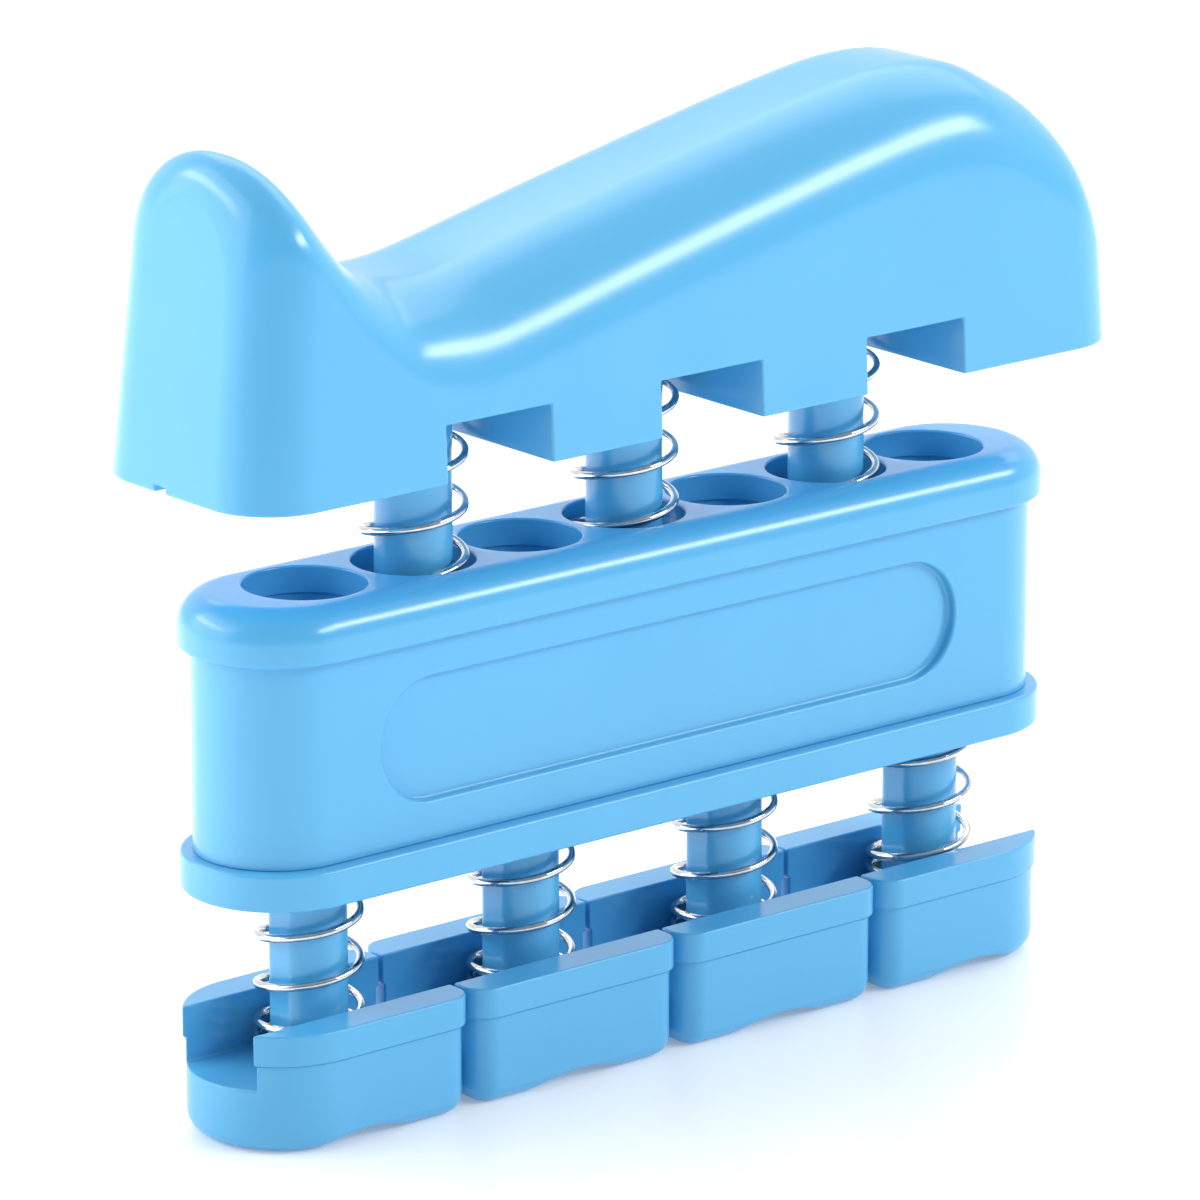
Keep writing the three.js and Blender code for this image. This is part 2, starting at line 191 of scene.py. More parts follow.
def piece(name, bm, body, node, material, sharp=34, weighted=True):
    bmesh.ops.recalc_face_normals(bm, faces=bm.faces)
    bmesh.ops.scale(bm, vec=(MM, MM, MM), verts=bm.verts)
    mesh = bpy.data.meshes.new(name)
    bm.to_mesh(mesh)
    bm.free()
    mesh.shade_smooth()
    mesh.set_sharp_from_angle(angle=math.radians(sharp))
    made = bpy.data.objects.new(name, mesh)
    bpy.context.scene.collection.objects.link(made)
    made.data.materials.append(material)
    if weighted:
        modifier = made.modifiers.new("face_weighted_normals", "WEIGHTED_NORMAL")
        modifier.keep_sharp = True
    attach(made, body)
    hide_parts(node)
    return made


def soften_edges(made, width, angle):
    """Rounds every edge sharper than the angle, as a mould does."""
    bevel = made.modifiers.new("moulded_edges", "BEVEL")
    bevel.width = width * MM
    bevel.segments = 3
    bevel.limit_method = "ANGLE"
    bevel.angle_limit = math.radians(angle)
    bevel.use_clamp_overlap = False
    bevel.harden_normals = True


# ---------- materials ----------
COLOUR_SPAN = (0.35, 0.65)  # the noise values that the two colours and two roughnesses lie at
ROUGH_SPAN = (0.3, 0.7)


def new_material(name):
    material = bpy.data.materials.new(name)
    material.use_nodes = True
    tree = material.node_tree
    return material, tree, tree.nodes["Principled BSDF"]


def noise(tree, scale, detail=3.0, roughness=0.5):
    coords = tree.nodes.new("ShaderNodeTexCoord")
    node = tree.nodes.new("ShaderNodeTexNoise")
    node.inputs["Scale"].default_value = scale
    node.inputs["Detail"].default_value = detail
    node.inputs["Roughness"].default_value = roughness
    tree.links.new(coords.outputs["Object"], node.inputs["Vector"])
    return node


def map_range(tree, source, low, high, out_low, out_high):
    node = tree.nodes.new("ShaderNodeMapRange")
    for name, value in (("From Min", low), ("From Max", high), ("To Min", out_low), ("To Max", out_high)):
        node.inputs[name].default_value = value
    tree.links.new(source, node.inputs["Value"])
    return node.outputs["Result"]


def mix_colours(tree, factor, first, second):
    node = tree.nodes.new("ShaderNodeMix")
    node.data_type = "RGBA"
    node.inputs["A"].default_value = (*first, 1)
    node.inputs["B"].default_value = (*second, 1)
    tree.links.new(factor, node.inputs["Factor"])
    return node.outputs["Result"]


def two_tone(tree, shader, pattern, first, second):
    factor = map_range(tree, pattern.outputs["Fac"], *COLOUR_SPAN, 0, 1)
    tree.links.new(mix_colours(tree, factor, first, second), shader.inputs["Base Color"])


def uneven_gloss(tree, shader, pattern, smoothest, roughest):
    rough = map_range(tree, pattern.outputs["Fac"], *ROUGH_SPAN, smoothest, roughest)
    tree.links.new(rough, shader.inputs["Roughness"])


def bump(tree, shader, pattern, strength, distance):
    node = tree.nodes.new("ShaderNodeBump")
    node.inputs["Strength"].default_value = strength
    node.inputs["Distance"].default_value = distance
    tree.links.new(pattern.outputs["Fac"], node.inputs["Height"])
    tree.links.new(node.outputs["Normal"], shader.inputs["Normal"])


def sky_plastic():
    """Glossy moulded plastic: faint drift in colour, fine orange peel, slightly duller patches."""
    material, tree, shader = new_material("sky_plastic")
    drift = noise(tree, 90, detail=2)
    two_tone(tree, shader, drift, (0.088, 0.424, 0.748), (0.094, 0.436, 0.764))
    patches = noise(tree, 420, detail=4, roughness=0.6)
    uneven_gloss(tree, shader, patches, 0.20, 0.235)
    peel = noise(tree, 1500, detail=1)
    bump(tree, shader, peel, 0.02, 0.00004)
    shader.inputs["IOR"].default_value = 1.55
    return material


def drawn_wire():
    """Bright nickel on drawn spring wire, with faint die lines and duller patches."""
    material, tree, shader = new_material("drawn_wire")
    patches = noise(tree, 1400, detail=4)
    two_tone(tree, shader, patches, (0.60, 0.605, 0.61), (0.70, 0.70, 0.70))
    uneven_gloss(tree, shader, patches, 0.06, 0.12)
    fine = noise(tree, 9000, detail=1)
    bump(tree, shader, fine, 0.08, 0.00003)
    shader.inputs["Metallic"].default_value = 1
    return material


def zinc_steel():
    """Zinc plated steel: slightly grained and uneven."""
    material, tree, shader = new_material("zinc_steel")
    grain = noise(tree, 2500, detail=6, roughness=0.7)
    two_tone(tree, shader, grain, (0.50, 0.52, 0.55), (0.62, 0.63, 0.65))
    uneven_gloss(tree, shader, grain, 0.26, 0.42)
    bump(tree, shader, grain, 0.1, 0.00004)
    shader.inputs["Metallic"].default_value = 1
    return material


PLASTIC = sky_plastic()
WIRE = drawn_wire()
ZINC = zinc_steel()


# ---------- body ----------
def mouth_profile():
    """(reach, drop) pairs of a bore's rounded mouth, from the face in to the bore's wall."""
    return [(BORE_EDGE * math.sin(a), BORE_EDGE * (1 - math.cos(a))) for a in quarter_angles(EDGE_STEPS)]


def bore_rims(bm, z, direction):
    """Rounded bore mouths in a face at height z; returns the outer and inner rings of each."""
    profile = [(BORE_RADIUS + BORE_EDGE - reach, z - direction * drop) for reach, drop in mouth_profile()]
    outer, inner = [], []
    for x in BORE_X:
        first, last = loft(bm, [circle(x, height, radius) for radius, height in profile])
        outer.append(first)
        inner.append(last)
    return outer, inner


def relieved_bore(bm, x, wall, bottom, top):
    """The bore through the cap, a little wider below its lid; returns the ring at the bottom."""
    lid = top - LID_THICKNESS
    steps = [(BORE_RADIUS, lid), (BORE_RADIUS + BORE_RELIEF, lid), (BORE_RADIUS + BORE_RELIEF, bottom)]
    for radius, z in steps:
        below = ring(bm, circle(x, z, radius))
        bridge(bm, wall, below)
        wall = below
    return wall


def make_upper_cap():
    bm = bmesh.new()
    bottom, top = upper_low.z, upper_high.z
    profile = [(inset, bottom + drop) for inset, drop in reversed(quarter(CAP_EDGE, EDGE_STEPS))]
    profile += [(inset, top - drop) for inset, drop in quarter(CAP_TOP_ROUND, CAP_TOP_STEPS)]
    underside, upper_face = loft(bm, [stadium(*FLANGE, z, inset) for inset, z in profile])
    mouths, walls = bore_rims(bm, top, 1)
    feet = [relieved_bore(bm, x, wall, bottom, top) for x, wall in zip(BORE_X, walls)]
    fill(bm, upper_face, *mouths)
    fill(bm, underside, *feet)
    piece("upper_cap_shell", bm, "body", "upper_cap", PLASTIC)


def make_lower_cap():
    bm = bmesh.new()
    bottom, top = lower_low.z, lower_high.z
    profile = [(inset, bottom + drop) for inset, drop in reversed(quarter(CAP_EDGE, EDGE_STEPS))]
    profile += [(inset, top - drop) for inset, drop in quarter(CAP_EDGE, EDGE_STEPS)]
    underside, upper_face = loft(bm, [stadium(*FLANGE, z, inset) for inset, z in profile])
    mouths, walls = bore_rims(bm, bottom, -1)
    heads = [ring(bm, circle(x, top, BORE_RADIUS)) for x in BORE_X]
    for wall, head in zip(walls, heads):
        bridge(bm, wall, head)
    fill(bm, underside, *mouths)
    fill(bm, upper_face, *heads)
    piece("lower_cap_shell", bm, "body", "lower_cap", PLASTIC)


def guide_hole(x, z):
    flat = POST_FLAT + GUIDE_CLEARANCE if x in FINGER_X else None
    return circle(x, z, POST_RADIUS + GUIDE_CLEARANCE, flat=flat)


def make_housing_bore(bm, x, bottom, top):
    """One stepped bore: wide above and below the web, a guide hole through it."""
    head, web_top = loft(bm, [circle(x, top, BORE_RADIUS), circle(x, WEB[1], BORE_RADIUS)])
    guide_top, guide_bottom = loft(bm, [guide_hole(x, WEB[1]), guide_hole(x, WEB[0])])
    web_bottom, foot = loft(bm, [circle(x, WEB[0], BORE_RADIUS), circle(x, bottom, BORE_RADIUS)])
    bridge(bm, web_top, guide_top)
    bridge(bm, guide_bottom, web_bottom)
    return head, foot


def recess_profile():
    """(inset, depth) pairs of the pocket's wall, rounded at its rim and again at its floor."""
    edge, depth = RECESS["edge"], RECESS["depth"]
    pairs = [(math.sin(a) - 1, 1 - math.cos(a)) for a in quarter_angles(EDGE_STEPS)]
    rim = [(edge * back, edge * down) for back, down in pairs]
    foot = [(edge * down, depth + edge * back) for back, down in pairs]
    return rim + foot


def label_recess(bm, side):
    """Pocket in one long face; returns its rim's outer ring."""
    face = side * CORE[1]
    rings = []
    for inset, depth in recess_profile():
        grown = max(-inset, 0)
        outline = stadium(RECESS["half_length"] + grown, RECESS["half_height"] + grown, 0, max(inset, 0))
        rings.append([(x, face - side * depth, RECESS["z"] + z) for x, z, _ in outline])
    rim, floor = loft(bm, rings)
    bm.faces.new(floor)
    return rim


def make_housing():
    bm = bmesh.new()
    bottom, top = core_low.z, core_high.z
    low = ring(bm, stadium(*CORE, bottom))
    high = ring(bm, stadium(*CORE, top))
    half = STADIUM_STEPS + 1
    for start in (0, half):
        bridge(bm, low[start : start + half], high[start : start + half], closed=False)
    back = [low[half - 1], low[half], high[half], high[half - 1]]
    front = [low[-1], low[0], high[0], high[-1]]
    fill(bm, front, label_recess(bm, -1))
    fill(bm, back, label_recess(bm, 1))
    ends = [make_housing_bore(bm, x, bottom, top) for x in BORE_X]
    fill(bm, high, *[head for head, _ in ends])
    fill(bm, low, *[foot for _, foot in ends])
    piece("housing_shell", bm, "body", "housing", PLASTIC)


# ---------- palm rest ----------
# Crest along the middle before its ends are rounded, as heights above the underside.
CREST = (
    (-44.1, 26.6), (-41.5, 25.8), (-39, 23.8), (-36.5, 21.1), (-34, 18.4), (-31.5, 16.4), (-29, 14.9),
    (-26.5, 14.5), (-22.5, 14.5), (-18, 15.25), (-8, 17.5), (6, 20.5), (17, 22.7), (25, 23.85),
    (31, 23.4), (36, 21), (40, 18.4), (44.1, 17),
)
CREST_END_ROUND = (4.4, 6.5)  # radii at the left and right ends of the crest
EDGE_ROUND = {"hump": (9.9, 6.4), "ramp": (7.8, 8.2), "hump_ends": -33, "ramp_starts": -22}
PALM_CORNER = 5.5
LEAN = {"left": 0.1, "right": 0.05, "side": 0.05}
PALM_EDGE = 0.22
PALM_SHARP = 55  # degrees: sharper edges are rounded
CREST_FLAT = 0.4  # least half width left between the two rounded long edges
CREST_STEPS = 24  # between two crest points
UPRIGHT = (28, 38)  # columns stand upright up to the first distance and lean fully from the second
MARK = {"x": -40, "y": (1.8, 0.6), "height": 0.5}
STATIONS = {"count": 150, "clear_of_notch_edges": 0.4}
LOW_ROWS = (0, 0.33, 0.67, 1)  # shares of the height up to the notches' ceilings
HIGH_ROWS = (0.25, 0.5, 0.75)  # shares of the wall above them
CEILING_ROW = len(LOW_ROWS) - 1
LOWEST_ARC_SHARE = 0.8
ARC_STEPS = 22
ARC_START_RISE = 15.0
ARC_ROUNDS = 6
FRAME_MARGIN = 1.2


def catmull_rom(p0, p1, p2, p3, t):
    """Point at share t of the smooth curve from p1 to p2."""

    def axis(a, b, c, d):
        v0, v1 = (c - a) / 2, (d - b) / 2
        return (2 * b - 2 * c + v0 + v1) * t**3 + (-3 * b + 3 * c - 2 * v0 - v1) * t**2 + v0 * t + b

    return axis(p0[0], p1[0], p2[0], p3[0]), axis(p0[1], p1[1], p2[1], p3[1])


def crest_points():
    points = []
    last = len(CREST) - 1
    for i in range(last):
        around = [CREST[min(max(k, 0), last)] for k in (i - 1, i, i + 1, i + 2)]
        points += [catmull_rom(*around, k / CREST_STEPS) for k in range(CREST_STEPS)]
    return points + [CREST[-1]]


CREST_LINE = crest_points()


def crest_height(x):
    x = min(max(x, CREST[0][0]), CREST[-1][0])
    for (x0, z0), (x1, z1) in zip(CREST_LINE, CREST_LINE[1:]):
        if x <= x1:
            return z0 + (z1 - z0) * (x - x0) / (x1 - x0)
    return CREST[-1][1]


def round_drop(distance, radius):
    """How far a rounded corner has fallen back, this far in from its end."""
    reach = min(max(1 - distance / radius, 0), 1)
    return radius * (1 - math.sqrt(1 - reach * reach))


def palm_section(x):
    """Crest height, half width and the edge rounding's width and height at a station."""
    from_left, from_right = x + PALM_END, PALM_END - x
    left_drop = round_drop(from_left, CREST_END_ROUND[0])
    right_drop = round_drop(from_right, CREST_END_ROUND[1])
    crest = crest_height(x) - left_drop - right_drop
    width = PALM_DEPTH - round_drop(from_left, PALM_CORNER) - round_drop(from_right, PALM_CORNER)
    ramp = smoothstep(x, EDGE_ROUND["hump_ends"], EDGE_ROUND["ramp_starts"])
    wide, high = (a + (b - a) * ramp for a, b in zip(EDGE_ROUND["hump"], EDGE_ROUND["ramp"]))
    return crest, width, min(wide, width - CREST_FLAT), high


def shrink(x, rise):
    """How far the end faces have leaned in at this height, as a share of the length."""
    slope = LEAN["left"] if x < 0 else LEAN["right"]
    return 1 - slope * rise / PALM_END


def column_x(x, rise):
    """Columns near the notches stand upright, and those at the ends lean with the end faces."""
    upright = 1 - smoothstep(abs(x), *UPRIGHT)
    return x * (1 - (1 - shrink(x, rise)) * (1 - upright))


def wall_point(x, rise):
    """Point on the leaning side face."""
    here = column_x(x, rise)
    _, width, _, _ = palm_section(here / shrink(x, rise))
    return here, width * (1 - LEAN["side"] * rise / PALM_DEPTH), rise


def arc_point(x, angle):
    """Point on the rounded long edge; its height and its column's lean settle together."""
    rise = ARC_START_RISE
    for _ in range(ARC_ROUNDS):
        here = column_x(x, rise)
        crest, width, wide, high = palm_section(here / shrink(x, rise))
        rise = crest - high * (1 - math.sin(angle))
    across = width - wide * (1 - math.cos(angle))
    return here, across * (1 - LEAN["side"] * rise / PALM_DEPTH), rise


def palm_stations():
    """Columns along the rest, closer together towards its ends, with one at each notch edge."""
    edges = sorted(x + side * NOTCH["half"] for x in PALM_X for side in (-1, 1))
    count = STATIONS["count"]
    spread = [-PALM_END * math.cos(math.pi * i / count) for i in range(count + 1)]
    kept = [x for x in spread if min(abs(x - e) for e in edges) > STATIONS["clear_of_notch_edges"]]
    return sorted(kept + edges), edges


def palm_column(x):
    """Points up one side of the rest: low wall, upper wall, then over the rounded edge to the crest."""
    top = arc_point(x, 0)[2]
    low = min(NOTCH["height"], top * LOWEST_ARC_SHARE)
    rises = [low * share for share in LOW_ROWS] + [low + (top - low) * share for share in HIGH_ROWS]
    points = [wall_point(x, rise) for rise in rises]
    return points + [arc_point(x, angle) for angle in quarter_angles(ARC_STEPS)]


def socket(bm, x, face, depth, flat=None):
    """Blind hole that a post sits in, with a narrow collar round its mouth; returns the collar's edge."""
    radius = POST_RADIUS + SEAT_GAP
    reach = None if flat is None else flat + SEAT_GAP
    collar_reach = None if flat is None else flat + SEAT_GAP + COLLAR
    rings = [circle(x, face, radius + COLLAR, flat=collar_reach), circle(x, face, radius, flat=reach)]
    rings.append(circle(x, depth, radius, flat=reach))
    mouth, end = loft(bm, rings)
    bm.faces.new(end)
    return mouth


def framed_hole(bm, outline, hole):
    """A flat face round a hole: a frame of even strips just inside the outline, then the rest."""
    xs = [v.co.x for v in outline]
    ys = [v.co.y for v in outline]
    cx, cy = (min(xs) + max(xs)) / 2, (min(ys) + max(ys)) / 2
    kx = 1 - 2 * FRAME_MARGIN / (max(xs) - min(xs))
    ky = 1 - 2 * FRAME_MARGIN / (max(ys) - min(ys))
    inner = ring(bm, [(cx + (v.co.x - cx) * kx, cy + (v.co.y - cy) * ky, v.co.z) for v in outline])
    bridge(bm, outline, inner)
    fill(bm, inner, hole)


def cut_mark(bm):
    """Small moulded notch under the tall end; returns its edges in the end face and in the underside."""
    x, tall = MARK["x"], MARK["height"]
    rows = [(-PALM_END, 0), (column_x(-PALM_END, tall), tall), (x, tall), (x, 0)]
    back, front = (ring(bm, [(px, y, PALM_FLOOR + rise) for px, rise in rows]) for y in MARK["y"])
    for i in (1, 2):
        bm.faces.new((back[i], front[i], front[i + 1], back[i + 1]))
    bm.faces.new(back)
    bm.faces.new(front)
    return [back[0], back[1], front[1], front[0]], [back[0], back[3], front[3], front[0]]


def palm_columns(bm, stations):
    """The vertices of each column, up the front and up the back."""
    columns = []
    for x in stations:
        points = palm_column(x)
        front = ring(bm, [(px, -py, PALM_FLOOR + pz) for px, py, pz in points])
        back = ring(bm, [(px, py, PALM_FLOOR + pz) for px, py, pz in points])
        columns.append((front, back))
    return columns


def close_sides(bm, stations, columns):
    """The front, the back and the strip along the crest, open where the notches are."""
    for i, ((a_front, a_back), (b_front, b_back)) in enumerate(zip(columns, columns[1:])):
        x = (stations[i] + stations[i + 1]) / 2
        open_below = any(abs(x - notch) < NOTCH["half"] for notch in PALM_X)
        for row in range(CEILING_ROW if open_below else 0, len(a_front) - 1):
            bm.faces.new((a_front[row], b_front[row], b_front[row + 1], a_front[row + 1]))
            bm.faces.new((a_back[row], a_back[row + 1], b_back[row + 1], b_back[row]))
        bm.faces.new((a_front[-1], b_front[-1], b_back[-1], a_back[-1]))


def close_underside(bm, places, columns, mark_under):
    """Flat lands between the notches, and the notches' ceilings with the posts' sockets in them."""
    for k, (start, end) in enumerate(zip(places, places[1:])):
        is_notch = k % 2 == 1
        row = CEILING_ROW if is_notch else 0
        outline = [columns[i][0][row] for i in range(start, end + 1)]
        outline += [columns[i][1][row] for i in range(end, start - 1, -1)]
        if is_notch:
            ceiling = PALM_FLOOR + NOTCH["height"]
            framed_hole(bm, outline, socket(bm, PALM_X[k // 2], ceiling, post_high.z + SEAT_GAP))
        else:
            bm.faces.new(outline + (mark_under if k == 0 else []))


def make_palm_rest():
    bm = bmesh.new()
    stations, edges = palm_stations()
    mark_end, mark_under = cut_mark(bm)
    columns = palm_columns(bm, stations)
    close_sides(bm, stations, columns)
    for (front, back), extra in ((columns[0], mark_end), (columns[-1], [])):
        bm.faces.new(front + back[::-1] + extra)
    edge_places = [stations.index(e) for e in edges]
    close_underside(bm, [0, *edge_places, len(stations) - 1], columns, mark_under)
    for place in edge_places:
        front, back = columns[place]
        bm.faces.new(front[: CEILING_ROW + 1] + back[CEILING_ROW::-1])
    made = piece("palm_rest_shell", bm, "palm", "palm_rest", PLASTIC, sharp=40, weighted=False)
    soften_edges(made, PALM_EDGE, PALM_SHARP)


# ---------- finger buttons ----------
BUTTON_GAP = 0.35
BUTTON_CORNER = 2
BUTTON_EDGE_ROUND = 1.5
BUTTON_EDGE_STEPS = 8
BUTTON_EDGE = 0.16
BUTTON_SHARP = 50  # degrees: sharper edges are rounded
SKIRT_START = 0.4  # of upright wall above the rounded edge before the skirt runs on
BUTTON_FLOOR = 5.1
BUTTON_LIP = 7.1
BUTTON_TOP = button_high.z
LIP_REACH = 0.24
LIP_RISE = 0.05
CHANNEL = 4.4  # half width
GROOVE_RADIUS = 10
GROOVE_DEPTH = 1
SOFTNESS = 0.45
STRIP_STEPS = 10
CORNER_STEPS = 14
SIDE_STEPS = 56


def button_outline(index, inset):
    """Ends, half depth and corner radii of one button; the row's two end buttons have a round end."""
    first, last = index == 0, index == len(FINGER_X) - 1
    half_pitch = PITCH - BUTTON_GAP / 2
    return {
        "x0": inset + (-FLANGE[0] if first else FINGER_X[index] - half_pitch),
        "x1": -inset + (FLANGE[0] if last else FINGER_X[index] + half_pitch),
        "depth": FLANGE[1] - inset,
        "left": FLANGE[1] - inset if first else BUTTON_CORNER,
        "right": FLANGE[1] - inset if last else BUTTON_CORNER,
    }


def front_line(o):
    """Points of the outline in front of the channel, from its left end to its right end."""
    points = []
    for end, radius, sign in ((o["x0"], o["left"], -1), (o["x1"], o["right"], 1)):
        cx, cy = end - sign * radius, radius - o["depth"]
        straight = cy <= -CHANNEL
        start = 0.0 if straight else math.asin((CHANNEL + cy) / radius)
        side = [(end, -CHANNEL)] if straight else []
        for i in range(CORNER_STEPS + 1):
            angle = start + (math.pi / 2 - start) * i / CORNER_STEPS
            side.append((cx + sign * radius * math.cos(angle), cy - radius * math.sin(angle)))
        points.append(side)
    left, right = points
    a, b = left[-1][0], right[-1][0]
    between = [(a + (b - a) * i / SIDE_STEPS, -o["depth"]) for i in range(1, SIDE_STEPS)]
    return left + between + right[::-1]


def end_strip(o, end, radius, sign):
    """Points across the channel's mouth, from front to back, without the two at its walls."""
    cx, cy = end - sign * radius, radius - o["depth"]
    points = []
    for i in range(1, STRIP_STEPS):
        y = -CHANNEL + 2 * CHANNEL * i / STRIP_STEPS
        x = end if cy <= -CHANNEL else cx + sign * math.sqrt(radius**2 - y**2)
        points.append((x, y))
    return points


def button_ring(o, inset, height):
    """A whole ring, anticlockwise from the front left; height maps x to z."""
    o = {
        "x0": o["x0"] + inset,
        "x1": o["x1"] - inset,
        "depth": o["depth"] - inset,
        "left": o["left"] - inset,
        "right": o["right"] - inset,
    }
    front = front_line(o)
    back = [(x, -y) for x, y in reversed(front)]
    right = end_strip(o, o["x1"], o["right"], 1)
    left = end_strip(o, o["x0"], o["left"], -1)[::-1]
    return [(x, y, height(x)) for x, y in front + right + back + left]


def soft_max(a, b, softness=SOFTNESS):
    h = max(softness - abs(a - b), 0) / softness
    return max(a, b) + h * h * softness / 4


def button_skirt(bm, x_mid, lower):
    """The sole with its finger groove, and the skirt up to the channel's floor; returns the top ring."""

    def groove(x):
        return math.sqrt(max(GROOVE_RADIUS**2 - (x - x_mid) ** 2, 0)) - (GROOVE_RADIUS - GROOVE_DEPTH)

    rings = []
    for inset, drop in reversed(quarter(BUTTON_EDGE_ROUND, BUTTON_EDGE_STEPS)):
        rings.append(button_ring(lower, inset, lambda x, z=drop: soft_max(z, groove(x))))
    for z in (BUTTON_EDGE_ROUND + SKIRT_START, BUTTON_FLOOR):
        rings.append(button_ring(lower, 0, lambda x, z=z: z))
    sole, skirt = loft(bm, rings)
    ladder(bm, sole)
    return skirt


def make_finger_button(index):
    bm = bmesh.new()
    lower = button_outline(index, LIP_REACH)
    lip = button_outline(index, 0)
    skirt = button_skirt(bm, FINGER_X[index], lower)
    wall_count = len(front_line(lower))
    strip_count = STRIP_STEPS - 1
    front_wall, right_strip = skirt[:wall_count], skirt[wall_count : wall_count + strip_count]
    back_wall = skirt[wall_count + strip_count : 2 * wall_count + strip_count]
    left_strip = skirt[2 * wall_count + strip_count :]
    make_channel_wall(bm, front_wall, lower, lip, -1)
    make_channel_wall(bm, back_wall, lower, lip, 1)
    floor = [front_wall[0], front_wall[-1], *right_strip, back_wall[0], back_wall[-1], *left_strip]
    fill(bm, floor, socket(bm, FINGER_X[index], BUTTON_FLOOR, flat_low.z - SEAT_GAP, flat=POST_FLAT))
    node, body = f"finger_button_{index + 1}", f"finger_{index + 1}"
    made = piece(f"{node}_shell", bm, body, node, PLASTIC, sharp=40, weighted=False)
    soften_edges(made, BUTTON_EDGE, BUTTON_SHARP)


def ladder(bm, loop):
    """Closes a ring that is its own mirror image front to back with strips across it."""
    count = len(loop)
    start = -(STRIP_STEPS // 2)  # the vertex in the middle of the left end
    half = count // 2
    front = [loop[(start + k) % count] for k in range(half + 1)]
    back = [loop[(start - k) % count] for k in range(half + 1)]
    bm.faces.new((front[0], front[1], back[1]))
    for k in range(1, half - 1):
        bm.faces.new((front[k], front[k + 1], back[k + 1], back[k]))
    bm.faces.new((front[half - 1], front[half], back[half - 1]))


def make_channel_wall(bm, base, lower, lip, side):
    """The wall on one side of the channel, up from the skirt, out under the lip and up to the top."""

    def line(outline, z):
        points = front_line(outline)
        if side > 0:
            points = [(x, -y) for x, y in reversed(points)]
        return ring(bm, [(x, y, z) for x, y in points])

    rows = [base, line(lower, BUTTON_LIP), line(lip, BUTTON_LIP + LIP_RISE), line(lip, BUTTON_TOP)]
    for a, b in zip(rows, rows[1:]):
        bridge(bm, a, b, closed=False)
    bm.faces.new(rows[-1])
    bm.faces.new([row[0] for row in rows] + [row[-1] for row in reversed(rows)])


# ---------- posts ----------
POST_CHAMFER = 0.3


def make_post(name, body, low, high, x, flat=None):
    bm = bmesh.new()
    profile = [(POST_CHAMFER, low), (0, low + POST_CHAMFER), (0, high - POST_CHAMFER), (POST_CHAMFER, high)]
    rings = []
    for inset, z in profile:
        reach = None if flat is None else flat - inset
        rings.append(circle(x, z, POST_RADIUS - inset, flat=reach))
    foot, head = loft(bm, rings)
    bm.faces.new(foot)
    bm.faces.new(head)
    piece(f"{name}_shaft", bm, body, name, PLASTIC, sharp=20)


# ---------- springs ----------
PALM_COIL = {"turns": 7.4, "tight_below": 1, "tight_above": 1, "tight_pitch": 0.75}
FINGER_COIL = {"turns": 8.4, "tight_below": 2.4, "tight_above": 1, "tight_pitch": 1.2}
PALM_COIL_STARTS = (2.5, 1.3, 2.6)
FINGER_COIL_STARTS = (2.2, 2.1, 1.9, 0)
COIL_STEPS = 44  # per turn
WIRE_SIDES = 12


def coil_height(turn, z0, z1, coil):
    """Height of the wire after this many turns: tight turns at both ends, open ones between."""
    open_turns = coil["turns"] - coil["tight_below"] - coil["tight_above"]
    tight = (coil["tight_below"] + coil["tight_above"]) * coil["tight_pitch"]
    open_pitch = (z1 - z0 - tight) / open_turns
    below = min(turn, coil["tight_below"])
    opened = min(max(turn - coil["tight_below"], 0), open_turns)
    above = max(turn - coil["tight_below"] - open_turns, 0)
    return z0 + (below + above) * coil["tight_pitch"] + opened * open_pitch


def wire_section(axis_point, angle):
    """Circle round the wire where it passes this angle."""
    outward = Vector((math.cos(angle), math.sin(angle), 0))
    centre = axis_point + outward * COIL_RADIUS
    points = []
    for k in range(WIRE_SIDES):
        around = 2 * math.pi * k / WIRE_SIDES
        offset = outward * math.cos(around) + Vector((0, 0, math.sin(around)))
        points.append(centre + WIRE_RADIUS * offset)
    return points


def make_spring(name, x, z0, z1, start, coil):
    bm = bmesh.new()
    steps = round(coil["turns"] * COIL_STEPS)
    rings = []
    for i in range(steps + 1):
        turn = coil["turns"] * i / steps
        axis_point = Vector((x, 0, coil_height(turn, z0, z1, coil)))
        rings.append(wire_section(axis_point, start + 2 * math.pi * turn))
    first, last = loft(bm, rings)
    bm.faces.new(first)
    bm.faces.new(last)
    made = piece(f"{name}_coil", bm, "body", name, WIRE, sharp=50, weighted=False)
    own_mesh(made)


# ---------- fasteners ----------
WASHER_HOLE = 1.3  # radius
WASHER_EDGE = 0.12


def make_washer(name, body):
    low, high = box_mm(name)
    x = (low.x + high.x) / 2
    outer, inner, edge = (high.x - low.x) / 2, WASHER_HOLE, WASHER_EDGE
    bm = bmesh.new()
    profile = [
        (inner + edge, low.z), (outer - edge, low.z), (outer, low.z + edge), (outer, high.z - edge),
        (outer - edge, high.z), (inner + edge, high.z), (inner, high.z - edge), (inner, low.z + edge),
    ]
    rings = [ring(bm, circle(x, z, radius)) for radius, z in profile]
    for a, b in zip(rings, rings[1:] + rings[:1]):
        bridge(bm, a, b)
    piece(f"{name}_disc", bm, body, name, ZINC)


SCREW = {
    "length": 5, "shank": 0.95, "core": 0.72, "pitch": 0.7, "flank": 0.2, "tip": 0.25, "tip_length": 0.35,
    "head": 2.3, "height": 1.4, "rim": 0.45, "slot_mouth": 0.9, "slot_floor": 0.55, "slot": 0.7,
}
HEAD_STEPS = 9
SCREW_STEPS = 48


